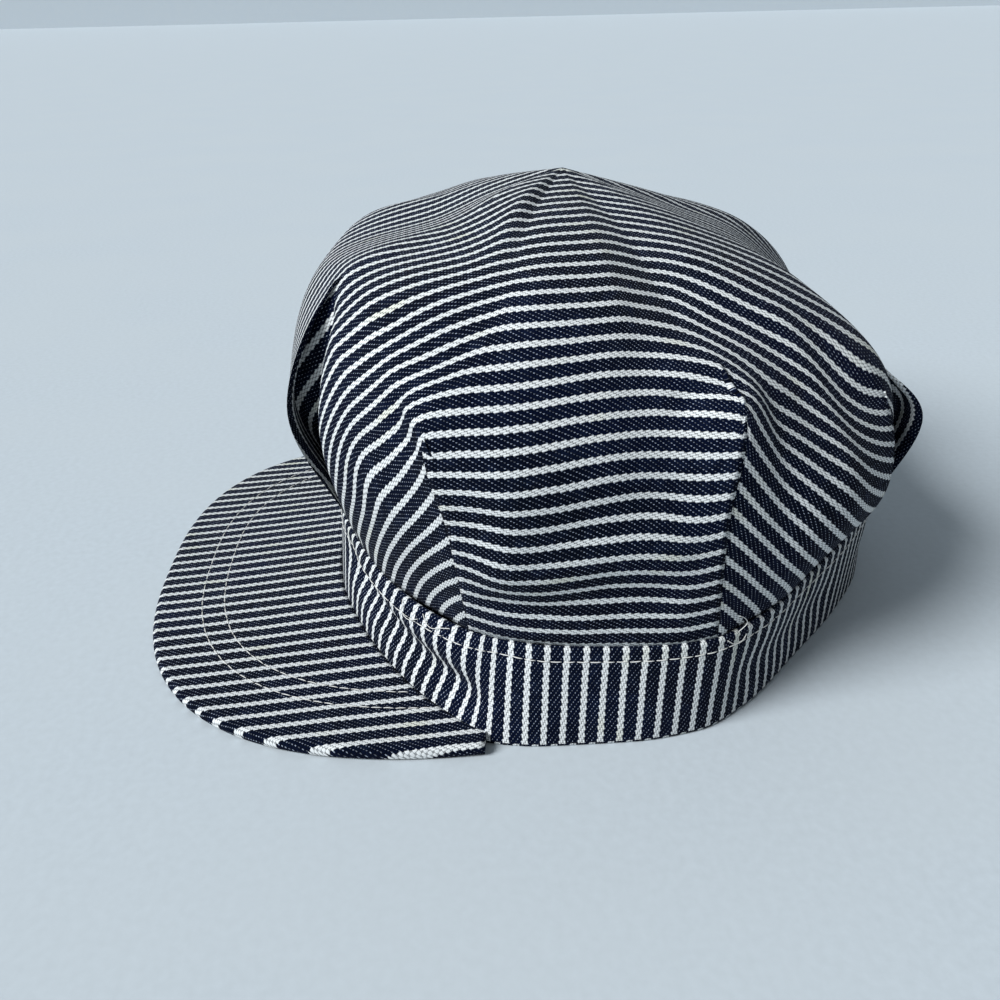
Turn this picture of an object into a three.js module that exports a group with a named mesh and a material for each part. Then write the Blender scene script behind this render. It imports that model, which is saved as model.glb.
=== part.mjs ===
// A cloth conductor cap lying on a table: a full pleated crown, an upright band and a stiff peak.
// Millimetres. +Z is up, the table is z = 0, the peak points to -Y and the wearer's left is +X.
// The origin is on the table under the middle of the whole cap. The tables below are measured from the
// middle of the band, HEAD_MIDDLE_Y behind it.
import * as THREE from "three";

const HEAD_MIDDLE_Y = 26;
const BAND_HEIGHT = 28;
const BAND_WALL = 2.4;
const CROWN_WALL = 1.5;
const PEAK_THICKNESS = 3.4;
const GAP = 0.3; // sewn pieces keep this much air between them

// Outer plan of the band at its foot, from the front centre round the left side to the back centre.
// lean is how far the top edge stands outside the foot, rise is how high the peak lifts the foot.
const BAND_PLAN = [
  { place: "front centre", x: 0, y: -86, lean: -2, rise: 3 },
  { place: "front", x: 23, y: -84.5, lean: -2, rise: 2.8 },
  { place: "front quarter", x: 45, y: -78.5, lean: -2, rise: 2.2 },
  { place: "front flank", x: 66, y: -69.5, lean: -2, rise: 1.4 },
  { place: "temple", x: 85, y: -57.5, lean: -3.5, rise: 0.5 },
  { place: "peak corner", x: 97, y: -45, lean: -6, rise: 0 },
  { place: "side front", x: 100, y: -30, lean: -3, rise: 0 },
  { place: "side", x: 100.5, y: -8, lean: -1, rise: 0 },
  { place: "side rear", x: 98, y: 9, lean: 1, rise: 0 },
  { place: "rear bend", x: 89, y: 24, lean: 2, rise: 0 },
  { place: "rear flank", x: 69, y: 44, lean: 2, rise: 0 },
  { place: "rear quarter", x: 45, y: 66, lean: 2, rise: 0 },
  { place: "rear", x: 24, y: 80, lean: 2, rise: 0 },
  { place: "back centre", x: 0, y: 86, lean: 2, rise: 0 },
];

// The crown's ribs, in the same order. foot is the place on the band's top edge as a share of half of it,
// belly, tip and shoulder are points on the cloth going up, far is how much further back the cloth has
// slumped on the -X side, and steps is the number of facets to the next rib.
// A pair of ribs close together is a pleat: its upper edge, and the cloth that goes under it.
const RIB_COLUMNS = ["rib", "foot", "belly", "tip", "shoulder", "far", "steps"];
const RIBS = [
  ["front centre", 0, [0, -95, 68], [0, -83, 101], [0, -48, 113], 0, 4],
  ["front fold", 0.1, [33, -92, 72], [35, -74, 102], [24, -46, 113.5], 0, 1],
  ["front gap", 0.108, [39, -78, 72], [37, -73, 102], [26, -46, 113.5], 0, 1],
  ["front under edge", 0.13, [51, -83, 74], [40, -71, 102], [29, -45, 113.5], 0, 3],
  ["front quarter", 0.225, [78, -71, 70], [72, -65, 96], [52, -40, 110], 0, 3],
  ["temple under edge", 0.32, [95, -56, 60], [97, -58, 85], [73, -36, 106], 0, 1],
  ["temple fold", 0.335, [99.5, -53, 60], [98.5, -56, 86], [75, -35, 105], 0, 4],
  ["side centre", 0.445, [104, -19, 58], [101, -20, 86], [80, -16, 106], 0, 4],
  ["rear side fold", 0.55, [103, 13, 58], [98.5, 14, 87], [78, 8, 108], 2, 1],
  ["rear side under edge", 0.565, [99, 16, 58], [96, 16, 87], [76, 9, 107], 2, 3],
  ["rear quarter", 0.66, [91, 42, 58], [81, 36, 84], [61, 22, 102], 8, 3],
  ["small pleat fold", 0.73, [70, 61, 54], [63, 51, 79], [46, 32, 101], 12, 1],
  ["small pleat under edge", 0.745, [65, 63, 53], [60, 52, 78], [43, 33, 101], 12, 2],
  ["rear under edge", 0.84, [48, 71, 56], [47, 61, 78], [32, 40, 102], 9, 1],
  ["rear gap", 0.865, [40, 73, 56], [43, 63, 78], [29, 41, 102], 8, 1],
  ["rear fold", 0.875, [35, 87, 58], [36, 68, 79], [26, 42, 103], 4, 4],
  ["back centre", 1, [0, 90, 56], [0, 72, 84], [0, 45, 107], 0, 4],
].map((row) => Object.fromEntries(row.map((value, i) => [RIB_COLUMNS[i], value])));
const CROWN_TOP = [0, -13, 125];
const LEG_ROWS = [6, 5, 4, 5]; // facets from foot to belly, to tip, to shoulder and to the top
const BAND_ROWS = 4;
const BAND_FACETS = 3; // facets between two rows of BAND_PLAN

// The peak's free edge is a superellipse about the line between its corners.
const PEAK_CORNER_Y = -45;
const PEAK_HALF_WIDTH = { left: 102, right: 98 };
const PEAK_REACH = 98;
const PEAK_POWER = 2.65;
const PEAK_SWEEP = 0.985 * Math.PI; // the free edge stops just short of the corners
const PEAK_ACROSS = 36; // facets along the free edge
const PEAK_ROWS = 6; // facets from the seam to the free edge
const PEAK_EDGE = 1.2; // the free edge is chamfered this much
const PEAK_CLEAR = 0.15; // air between the peak and the table
const PEAK_SEAM_AIR = 0.45; // air between the peak and the foot of the band
const PEAK_SETTLE = 1.5; // how quickly the raised seam comes down to the flat free edge

// A mirrored list: the half from the front to the back, then the same back to the front on the other side.
function allRound(half, mirror) {
  return [...half, ...half.slice(1, -1).reverse().map(mirror)];
}

// The smooth value between two of a closed run of values at uneven places. It never overshoots them.
function closedSpline(places, length, values) {
  const count = values.length;
  const wrap = (i) => (i + count) % count;
  const step = (i) => (places[wrap(i + 1)] - places[wrap(i)] + length) % length || length;
  const slope = values.map((_, i) => {
    const before = step(i - 1);
    const after = step(i);
    const left = (values[i] - values[wrap(i - 1)]) / before;
    const right = (values[wrap(i + 1)] - values[i]) / after;
    if (left * right <= 0) return 0;
    return (3 * (before + after)) / ((2 * after + before) / left + (after + 2 * before) / right);
  });
  return (i, t) => {
    const h = step(i);
    const a = values[wrap(i)];
    const b = values[wrap(i + 1)];
    const t2 = t * t;
    const t3 = t2 * t;
    return (
      (2 * t3 - 3 * t2 + 1) * a +
      (t3 - 2 * t2 + t) * h * slope[wrap(i)] +
      (3 * t2 - 2 * t3) * b +
      (t3 - t2) * h * slope[wrap(i + 1)]
    );
  };
}

// The band's plan as a closed run of points with an outward direction, a lean and a rise at each.
function bandRing() {
  const rows = allRound(BAND_PLAN, (r) => ({ ...r, x: -r.x }));
  const places = [0];
  rows.forEach((r, i) => {
    const next = rows[(i + 1) % rows.length];
    places.push(places[i] + Math.hypot(next.x - r.x, next.y - r.y));
  });
  const length = places.pop();
  const column = (key) => closedSpline(places, length, rows.map((r) => r[key]));
  const [x, y, lean, rise] = ["x", "y", "lean", "rise"].map(column);
  const ring = [];
  rows.forEach((_, i) => {
    for (let k = 0; k < BAND_FACETS; k++) {
      const t = k / BAND_FACETS;
      ring.push({ x: x(i, t), y: y(i, t), lean: lean(i, t), rise: Math.max(0, rise(i, t)) });
    }
  });
  ring.forEach((p, i) => {
    const a = ring[(i + ring.length - 1) % ring.length];
    const b = ring[(i + 1) % ring.length];
    const long = Math.hypot(b.x - a.x, b.y - a.y);
    p.out = [(b.y - a.y) / long, -(b.x - a.x) / long];
  });
  let run = 0;
  ring.forEach((p, i) => {
    const b = ring[(i + 1) % ring.length];
    p.run = run;
    run += Math.hypot(b.x - p.x, b.y - p.y);
  });
  return { ring, length: run };
}

// A point of the band's face: share 0 is the foot and 1 the top, inset goes into the wall.
function bandPoint(p, share, inset) {
  const out = p.lean * share - inset;
  return [p.x + p.out[0] * out, p.y + p.out[1] * out, p.rise + BAND_HEIGHT * share];
}

// The band's point at a share of half its length, on the +X side or mirrored.
function bandAt(band, share, side) {
  const want = (share * band.length) / 2;
  const last = band.ring.findLastIndex((p) => p.run <= want + 1e-9);
  const a = band.ring[last];
  const b = band.ring[(last + 1) % band.ring.length];
  const t = (want - a.run) / Math.hypot(b.x - a.x, b.y - a.y);
  const mix = (u, v) => u + (v - u) * t;
  const p = { x: mix(a.x, b.x), y: mix(a.y, b.y), lean: mix(a.lean, b.lean), rise: mix(a.rise, b.rise) };
  p.out = [mix(a.out[0], b.out[0]), mix(a.out[1], b.out[1])];
  const point = bandPoint(p, 1, 0);
  return new THREE.Vector3(point[0] * side, point[1], point[2] + GAP);
}

// Closes two grids of points, an outer and an inner face, into one solid. Rows run round, and wrap.
// tips is the point that closes each face at the top, or null where the top is open.
function shell(outer, inner, tips) {
  const rows = outer.length;
  const round = outer[0].length;
  const flat = [...outer.flat(), ...inner.flat()].flatMap((p) => [p.x, p.y, p.z]);
  const index = [];
  const id = (face, r, c) => face * rows * round + r * round + (c % round);
  const quad = (a, b, c, d) => index.push(a, b, c, a, c, d);
  for (let c = 0; c < round; c++) {
    for (let r = 0; r + 1 < rows; r++) {
      quad(id(0, r, c), id(0, r, c + 1), id(0, r + 1, c + 1), id(0, r + 1, c));
      quad(id(1, r, c + 1), id(1, r, c), id(1, r + 1, c), id(1, r + 1, c + 1));
    }
    quad(id(1, 0, c), id(1, 0, c + 1), id(0, 0, c + 1), id(0, 0, c));
    const last = rows - 1;
    if (!tips) quad(id(0, last, c), id(0, last, c + 1), id(1, last, c + 1), id(1, last, c));
  }
  (tips ?? []).forEach((tip, face) => {
    const apex = flat.length / 3;
    flat.push(tip.x, tip.y, tip.z);
    for (let c = 0; c < round; c++) {
      const [a, b] = face === 0 ? [c, c + 1] : [c + 1, c];
      index.push(id(face, rows - 1, a), id(face, rows - 1, b), apex);
    }
  });
  return solid(flat, index);
}

function solid(flat, index) {
  const geometry = new THREE.BufferGeometry();
  geometry.setAttribute("position", new THREE.Float32BufferAttribute(flat, 3));
  geometry.setIndex(index);
  geometry.computeVertexNormals();
  return geometry;
}

// Unit normals of a grid that wraps round, pointing out of the cap.
function gridNormals(grid, apex) {
  const round = grid[0].length;
  return grid.map((row, r) =>
    row.map((p, c) => {
      const right = row[(c + 1) % round];
      const left = row[(c + round - 1) % round];
      const up = r + 1 < grid.length ? grid[r + 1][c] : apex;
      const down = r > 0 ? grid[r - 1][c] : p;
      const across = new THREE.Vector3().subVectors(right, left);
      return across.cross(new THREE.Vector3().subVectors(up, down)).normalize();
    }),
  );
}

// The ribs of both sides in order round the cap. place runs from 0 at the front centre to 2.
function allRibs() {
  const left = RIBS.map((r) => ({ ...r, side: 1, place: r.foot }));
  const ribs = allRound(left, (r) => ({ ...r, side: -1, place: 2 - r.foot }));
  // On the mirrored side the facets to the next rib are those of that rib on the first side.
  const steps = ribs.map((r, i) => (r.side > 0 ? r.steps : (ribs[i + 1] ?? ribs[0]).steps));
  return ribs.map((r, i) => ({ ...r, steps: steps[i] }));
}

// The points up one rib, from the band to just under the crown's top.
function ribPoints(band, rib, top) {
  const legs = [bandAt(band, rib.foot, rib.side)];
  for (const key of ["belly", "tip", "shoulder"]) {
    const [x, y, z] = rib[key];
    legs.push(new THREE.Vector3(x * rib.side, y + (rib.side < 0 ? rib.far : 0), z));
  }
  legs.push(top);
  const curve = new THREE.CatmullRomCurve3(legs, false, "centripetal");
  const at = (leg, k, n) => curve.getPoint((leg + k / n) / LEG_ROWS.length);
  return LEG_ROWS.flatMap((n, leg) => Array.from({ length: n }, (_, k) => at(leg, k, n)));
}

function crown(band) {
  const top = new THREE.Vector3(...CROWN_TOP);
  const ribs = allRibs();
  const columns = ribs.map((rib) => ribPoints(band, rib, top));
  const places = ribs.map((rib) => rib.place);
  const grid = columns[0].map((_, row) => {
    const smooth = (key) => closedSpline(places, 2, columns.map((points) => points[row][key]));
    const [x, y, z] = ["x", "y", "z"].map(smooth);
    const point = (i, t) => new THREE.Vector3(x(i, t), y(i, t), z(i, t));
    return ribs.flatMap((rib, i) => Array.from({ length: rib.steps }, (_, k) => point(i, k / rib.steps)));
  });
  const normals = gridNormals(grid, top);
  const inward = (p, r, c) => p.clone().addScaledVector(normals[r][c], -CROWN_WALL);
  const inner = grid.map((row, r) => row.map((p, c) => inward(p, r, c)));
  inner[0].forEach((p, c) => (p.z = grid[0][c].z));
  return shell(grid, inner, [top, top.clone().setZ(top.z - CROWN_WALL)]);
}

function bandSolid(band) {
  const row = (r, inset) => band.ring.map((p) => new THREE.Vector3(...bandPoint(p, r / BAND_ROWS, inset)));
  const face = (inset) => Array.from({ length: BAND_ROWS + 1 }, (_, r) => row(r, inset));
  return shell(face(0), face(BAND_WALL), null);
}

// The peak's sewn edge: the foot of the band at an x between the corners, moved out to leave some air.
function peakSeam(band) {
  const half = band.ring.filter((p) => p.y < PEAK_CORNER_Y + 1 && p.x >= 0).sort((a, b) => a.x - b.x);
  const corner = Math.max(...half.filter((p) => p.y < PEAK_CORNER_Y).map((p) => p.x));
  return (s) => {
    const x = corner * s;
    const i = Math.min(half.length - 2, half.findLastIndex((p) => p.x <= Math.abs(x)));
    const t = (Math.abs(x) - half[i].x) / (half[i + 1].x - half[i].x);
    const mix = (of) => of(half[i]) + (of(half[i + 1]) - of(half[i])) * t;
    const outX = mix((p) => p.out[0]) * Math.sign(x);
    const outY = mix((p) => p.out[1]);
    return {
      x: x + outX * PEAK_SEAM_AIR,
      y: mix((p) => p.y) + outY * PEAK_SEAM_AIR,
      rise: mix((p) => p.rise),
    };
  };
}

// One cut through the peak at a turn from -90 to 90 degrees about the middle of its corner line:
// its top, the chamfered free edge, its underside and the sewn edge, as a closed run of points.
function peakSection(turn, seamAt) {
  const s = Math.sin(turn);
  const power = 2 / PEAK_POWER;
  const seam = seamAt(s);
  const side = s > 0 ? PEAK_HALF_WIDTH.left : PEAK_HALF_WIDTH.right;
  const free = {
    x: Math.sign(s) * Math.abs(s) ** power * side,
    y: PEAK_CORNER_Y - Math.cos(turn) ** power * PEAK_REACH,
  };
  const under = Array.from({ length: PEAK_ROWS + 1 }, (_, r) => {
    const t = r / PEAK_ROWS;
    const foot = seam.rise * (1 - t) ** PEAK_SETTLE + PEAK_CLEAR;
    return [seam.x + (free.x - seam.x) * t, seam.y + (free.y - seam.y) * t, foot];
  });
  const top = under.map(([x, y, z]) => [x, y, z + PEAK_THICKNESS]);
  const [edgeX, edgeY, edgeZ] = top.pop();
  const long = Math.hypot(free.x - seam.x, free.y - seam.y);
  const pull = PEAK_EDGE / long;
  top.push([edgeX - (free.x - seam.x) * pull, edgeY - (free.y - seam.y) * pull, edgeZ]);
  return [...top, [edgeX, edgeY, edgeZ - PEAK_EDGE], ...under.reverse()];
}

function peakSolid(band) {
  const seamAt = peakSeam(band);
  const sections = Array.from({ length: PEAK_ACROSS + 1 }, (_, c) =>
    peakSection((c / PEAK_ACROSS - 1 / 2) * PEAK_SWEEP, seamAt),
  );
  const round = sections[0].length;
  const index = [];
  for (let c = 0; c < PEAK_ACROSS; c++)
    for (let k = 0; k < round; k++) {
      const next = (k + 1) % round;
      const [a, b] = [c * round, (c + 1) * round];
      index.push(a + k, a + next, b + next, a + k, b + next, b + k);
    }
  for (let k = 1; k + 1 < round; k++) {
    const end = PEAK_ACROSS * round;
    index.push(k + 1, k, 0, end, end + k, end + k + 1);
  }
  return solid(sections.flat(2), index);
}

function cloth(color) {
  return new THREE.MeshStandardMaterial({ color, roughness: 0.85, metalness: 0 });
}

function piece(name, geometry, color) {
  const mesh = new THREE.Mesh(geometry, cloth(color));
  mesh.name = name;
  return mesh;
}

const band = bandRing();
const cap = new THREE.Group();
cap.position.y = HEAD_MIDDLE_Y;
cap.add(
  piece("crown", crown(band), 0x343a4c),
  piece("band", bandSolid(band), 0x2b3040),
  piece("peak", peakSolid(band), 0x3a4052),
);

export default cap;
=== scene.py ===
"""A conductor cap in striped twill: a full pleated crown on an upright band, with a stiff peak."""
import math
from functools import partial

import bpy
import numpy as np
from mathutils import Matrix, Vector


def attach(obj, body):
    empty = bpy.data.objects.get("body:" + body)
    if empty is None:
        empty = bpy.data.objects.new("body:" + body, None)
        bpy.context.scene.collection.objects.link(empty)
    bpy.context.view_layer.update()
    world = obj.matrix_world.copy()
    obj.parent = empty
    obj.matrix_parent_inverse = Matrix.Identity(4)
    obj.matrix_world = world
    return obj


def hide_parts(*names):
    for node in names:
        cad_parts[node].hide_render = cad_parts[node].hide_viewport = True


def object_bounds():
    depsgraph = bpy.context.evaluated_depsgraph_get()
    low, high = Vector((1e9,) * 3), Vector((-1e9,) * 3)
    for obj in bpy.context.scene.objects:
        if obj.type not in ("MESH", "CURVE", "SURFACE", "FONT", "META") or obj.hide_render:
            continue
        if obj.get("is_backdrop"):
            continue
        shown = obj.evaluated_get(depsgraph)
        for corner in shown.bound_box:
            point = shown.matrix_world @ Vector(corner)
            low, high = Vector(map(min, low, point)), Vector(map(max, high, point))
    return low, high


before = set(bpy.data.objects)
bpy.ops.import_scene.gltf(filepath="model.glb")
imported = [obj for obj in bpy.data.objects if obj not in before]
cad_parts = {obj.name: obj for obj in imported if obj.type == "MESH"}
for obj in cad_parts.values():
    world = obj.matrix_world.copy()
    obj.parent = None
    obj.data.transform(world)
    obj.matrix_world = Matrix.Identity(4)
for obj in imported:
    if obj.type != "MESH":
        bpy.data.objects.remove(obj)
cad_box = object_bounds()

# Sizes are in millimetres until a mesh is made. +Z is up, the peak points to -Y, the wearer's left is +X.
MM = 0.001
HEAD_MIDDLE_Y = 26
BAND_HEIGHT = 28
BAND_WALL = 2.0
CLOTH = 0.65
STRIPE_PITCH = 4.76

# The band's outer foot from the front centre round the left side to the back centre. lean is how far the
# top edge stands outside the foot, and rise is how high the foot is lifted.
BAND_COLUMNS = ("place", "x", "y", "lean", "rise")
BAND_PLAN = [
    ("front centre", 0, -86, -2, 3),
    ("front", 23, -84.5, -2, 2.8),
    ("front quarter", 45, -78.5, -2, 2.2),
    ("front flank", 66, -69.5, -2, 1.4),
    ("temple", 85, -57.5, -3.5, 0.5),
    ("peak corner", 97, -45, -6, 0),
    ("side front", 100, -30, -3, 0),
    ("side", 100.5, -8, -1, 0),
    ("side rear", 98, 9, 1, 0),
    ("rear bend", 89, 24, 2, 0),
    ("rear flank", 69, 44, 2, 0),
    ("rear quarter", 45, 66, 2, 0),
    ("rear", 24, 80, 2, 0),
    ("back centre", 0, 86, 2, 0),
]
RING_CELLS = 720
RING_STEPS = 40  # between two rows of the plan, before the ring is spaced evenly

# The crown is one flat cut of cloth, pleated into the band. Each rib is a line on it from the band to the
# middle of the top. foot is its place on the band as a share of half the band; belly, tip and shoulder are
# points that it passes; lift is how far it bows up from the shoulder to the middle; cut_foot and cut_tip are
# its places on the flat cut, across and along the stripes; far is how much further back the -X side has
# slumped; cells is the count of columns after it. There is a pleat wherever the panel changes.
RIB_COLUMNS = ("panel", "foot", "belly", "tip", "shoulder", "lift", "cut_foot", "cut_tip", "far", "cells")
RIBS = [
    ("front", 0, (0, -95, 68), (0, -83, 101), (0, -48, 113), 1, (0, -157), (0, -80), 0, 16),
    ("front", 0.1, (41, -92.5, 72), (35, -75, 105), (24, -46, 115), 2, (30, -154), (36, -70), 0, 0),
    ("flank", 0.108, (39, -78, 72), (35, -75, 105), (24, -46, 115), 2, (88, -136), (36, -70), 0, 6),
    ("flank", 0.13, (51, -83, 74), (42, -72, 104), (30, -45, 115), 2.5, (95, -130), (42, -68), 0, 14),
    ("flank", 0.225, (78, -71, 70), (73, -66, 97), (55, -41, 112.5), 4, (121, -107), (74, -62), 0, 14),
    ("flank", 0.3406, (98.7, -52.2, 61), (98.5, -56, 86), (78, -38, 105), 4, (154.8, -91), (106, -50), 0, 0),
    ("side", 0.3426, (99.5, -51.8, 61), (98.5, -56, 86), (78, -38, 105), 4, (169, -41), (106, -50), 0, 10),
    ("side", 0.392, (106, -37, 64), (101, -38, 85.5), (82, -30, 105), 4, (169, -28), (106, -32), 0, 10),
    ("side", 0.462, (104.3, -19, 64), (97.5, -18, 87), (77.5, -13, 105), 4, (169, -10), (106.5, -14), 0, 12),
    ("side", 0.53, (102, 0, 61), (93.5, -1, 87), (74, -5, 103.5), 4, (169, 8), (106.5, 6), 0, 8),
    ("side", 0.571, (101.5, 11.2, 60), (97, 14, 87), (70.5, 3.5, 101.5), 4, (169, 20), (106, 22), 2, 0),
    ("quarter", 0.573, (101, 11.6, 60), (97, 14, 87), (70.5, 3.5, 101.5), 4, (147, 70), (106, 22), 2, 16),
    ("quarter", 0.66, (90, 42, 57), (78, 37.1, 81.9), (65, 20.6, 102.1), 4, (128, 74), (77, 54), 8, 12),
    ("quarter", 0.73, (72, 62, 54), (66, 59, 79.4), (54, 36.7, 100.8), 3, (114.5, 85), (70, 76), 12, 0),
    ("strip", 0.735, (70, 62, 53), (66, 59, 79.4), (54, 36.7, 100.8), 3, (104, 97), (70, 76), 12, 8),
    ("strip", 0.84, (48, 71, 56), (50, 67, 78), (35, 45, 100), 2, (72, 130), (53, 86), 9, 6),
    ("strip", 0.865, (40, 73, 56), (38, 69, 77), (27, 45, 99.5), 2, (67, 134), (41, 91), 8, 0),
    ("back", 0.875, (37, 87, 58), (38, 69, 77), (27, 45, 99.5), 2, (33, 158), (41, 91), 4, 16),
    ("back", 1, (0, 88, 56), (0, 66, 80), (0, 41, 103), 1, (0, 160), (0, 96), 0, 0),
]
CROWN_TOP = (0, -13, 125)
RIB_CELLS = (15, 15, 14, 12, 14)  # up to the belly, the tip, the shoulder, the crest and the top
FOOT_ROWS = sum(RIB_CELLS[:2])
CROWN_ROWS = sum(RIB_CELLS) + 1
FOOT_DOWN = 0.15  # the crown's foot below the band's top edge
FOOT_IN = 0.9  # and inside the band's face
CREST = 0.42  # where a rib's lift is, from the shoulder to the top
FAR_LIFT = 0.25  # the share of the lift that is left on the -X side
CLOSING_ROWS = (FOOT_ROWS - 3, 5)  # from which row a pleat closes, and over how many
RIDGE_FADES = (56, 12)  # from which row the ridge over a pleat fades out, and over how many
CUT_TOP = (0, -6)

# Each pleat is between two panels. upper is the one on top, depth is how far the cloth goes under it at the
# band, and soft is how smooth the cloth just above it is, from 0, a sharp ridge, to 1.
PLEAT_COLUMNS = ("before", "after", "upper", "depth", "soft")
PLEATS = [
    ("front", "flank", "before", 26, 1),
    ("flank", "side", "after", 22, 1),
    ("side", "quarter", "before", 22, 0.2),
    ("quarter", "strip", "before", 9, 1),
    ("strip", "back", "after", 24, 1),
]
PLEAT_CELLS = 8
PLEAT_GAP = 1.5  # how far a pleat's inner end lies under the panel above it


def deselect():
    bpy.ops.object.select_all(action="DESELECT")


def smooth(t):
    t = np.clip(t, 0, 1)
    return t * t * (3 - 2 * t)


def rows_of(columns, table):
    return [dict(zip(columns, row)) for row in table]


def run_along(points):
    """Each point's distance from the first one, along the line through them all."""
    return np.concatenate([[0], np.cumsum(np.linalg.norm(np.diff(points, axis=0), axis=1))])


def at_run(run, values, want):
    """The row of values at each wanted distance, between the rows at the distances in run."""
    return np.stack([np.interp(want, run, column) for column in values.T], axis=-1)


def limited_slopes(places, values, length=None):
    """The slope of a smooth line through values at uneven places, with no overshoot. length closes it."""
    places = np.asarray(places, float)
    values = np.asarray(values, float)
    if length:
        places = np.append(places, places[0] + length)
        values = np.concatenate([values, values[:1]])
    step = np.diff(places).reshape(-1, *[1] * (values.ndim - 1))
    rise = np.diff(values, axis=0) / step
    if length:
        after = np.arange(len(step))
        before = after - 1
    else:
        after = np.minimum(np.arange(len(step) + 1), len(step) - 1)
        before = np.maximum(np.arange(len(step) + 1) - 1, 0)
    left, right = rise[before], rise[after]
    before, after = step[before], step[after]
    same = left * right > 0
    safe_left = np.where(same, left, 1)
    safe_right = np.where(same, right, 1)
    slope = 3 * (before + after) / ((2 * after + before) / safe_left + (after + 2 * before) / safe_right)
    return np.where(same, slope, 0)


def hermite(a, b, slope_a, slope_b, span, t):
    return (
        (2 * t**3 - 3 * t**2 + 1) * a
        + (t**3 - 2 * t**2 + t) * span * slope_a
        + (3 * t**2 - 2 * t**3) * b
        + (t**3 - t**2) * span * slope_b
    )


def centripetal(points, cells):
    """A Catmull-Rom line through points, with cells[i] steps on each leg."""
    points = np.asarray(points, float)
    first = 2 * points[0] - points[1]
    last = 2 * points[-1] - points[-2]
    full = np.concatenate([[first], points, [last]])
    knots = np.concatenate([[0], np.cumsum(np.sqrt(np.linalg.norm(np.diff(full, axis=0), axis=1)))])
    out = []
    for i in range(len(points) - 1):
        knot = knots[i : i + 4, None]
        for t in np.linspace(knots[i + 1], knots[i + 2], cells[i], endpoint=False):
            row = full[i : i + 4]
            for low, high in ((knot[:-1], knot[1:]), (knot[:-2], knot[2:]), (knot[1:2], knot[2:3])):
                row = row[:-1] * (high - t) / (high - low) + row[1:] * (t - low) / (high - low)
            out.append(row[0])
    out.append(points[-1])
    return np.array(out)


def mesh_object(name, points, faces, uv=None, corners=None):
    """A mesh from points in millimetres. Its cloth coordinates become a UV map in metres, from one pair a
    point, or from one pair a corner where the cloth has a join."""
    mesh = bpy.data.meshes.new(name)
    mesh.from_pydata((np.asarray(points) * MM).tolist(), [], faces)
    if uv is not None or corners is not None:
        layer = mesh.uv_layers.new(name="cloth")
        if corners is None:
            corners = np.asarray(uv)[[loop.vertex_index for loop in mesh.loops]]
        layer.data.foreach_set("uv", (np.asarray(corners, float) * MM).ravel())
    mesh.update()
    obj = bpy.data.objects.new(name, mesh)
    bpy.context.scene.collection.objects.link(obj)
    return obj


def wrapped_faces(rows, columns, ring=False):
    """The faces of a grid whose columns go all the way round, and in a ring its rows too."""
    faces = []
    for r in range(rows if ring else rows - 1):
        for c in range(columns):
            s, d = (r + 1) % rows, (c + 1) % columns
            faces.append((r * columns + c, r * columns + d, s * columns + d, s * columns + c))
    return faces


def closed(obj, merge=0.00001):
    """Merges the doubled points of a mesh and turns its faces outward."""
    deselect()
    obj.select_set(True)
    bpy.context.view_layer.objects.active = obj
    bpy.ops.object.mode_set(mode="EDIT")
    bpy.ops.mesh.select_all(action="SELECT")
    bpy.ops.mesh.remove_doubles(threshold=merge)
    bpy.ops.mesh.dissolve_degenerate(threshold=0.00001)
    bpy.ops.mesh.normals_make_consistent(inside=False)
    bpy.ops.object.mode_set(mode="OBJECT")
    bpy.ops.object.shade_smooth()
    return obj


def band_ring():
    """The band's plan as evenly spaced points, each (x, y, lean, rise), from the front centre round, and
    how long it is."""
    half = [[row["x"], row["y"], row["lean"], row["rise"]] for row in rows_of(BAND_COLUMNS, BAND_PLAN)]
    half = np.array(half, float)
    rows = np.concatenate([half, half[-2:0:-1] * np.array([-1, 1, 1, 1])])
    step = np.linalg.norm(np.roll(rows, -1, axis=0)[:, :2] - rows[:, :2], axis=1)
    places = np.concatenate([[0], np.cumsum(step)[:-1]])
    slopes = limited_slopes(places, rows, step.sum())
    fine = []
    for i in range(len(rows)):
        t = np.linspace(0, 1, RING_STEPS, endpoint=False)[:, None]
        j = (i + 1) % len(rows)
        fine.append(hermite(rows[i], rows[j], slopes[i], slopes[j], step[i], t))
    fine = np.concatenate(fine)
    fine = np.concatenate([fine, fine[:1]])
    run = run_along(fine[:, :2])
    ring = at_run(run, fine, np.linspace(0, run[-1], RING_CELLS, endpoint=False))
    ring[:, 3] = np.maximum(ring[:, 3], 0)
    return ring, run[-1]


RING, BAND_LENGTH = band_ring()
RING_REACH = 4  # how many ring points to each side give the way that the band faces


def band_at(share, height, inset=0.0):
    """Points on the band's face. share is 0 at the front centre, 1 at the back and 2 at the front again."""
    share = np.asarray(share, float)
    index = (share / 2 % 1) * RING_CELLS
    low = np.floor(index).astype(int) % RING_CELLS
    t = (index - np.floor(index))[..., None]
    row = RING[low] * (1 - t) + RING[(low + 1) % RING_CELLS] * t
    along = RING[(low + RING_REACH) % RING_CELLS, :2] - RING[(low - RING_REACH) % RING_CELLS, :2]
    along = along / np.linalg.norm(along, axis=-1, keepdims=True)
    out = np.stack([along[..., 1], -along[..., 0]], axis=-1)
    height = np.asarray(height, float)
    away = (row[..., 2] * height / BAND_HEIGHT - inset)[..., None]
    flat = row[..., :2] + out * away
    return np.stack([flat[..., 0], flat[..., 1] + HEAD_MIDDLE_Y, row[..., 3] + height], axis=-1)


def rows_step(start, length):
    """For each row of the crown, 0 up to start, and smoothly 1 from length rows above it."""
    return smooth((np.arange(CROWN_ROWS) - start) / length)[:, None]


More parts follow.
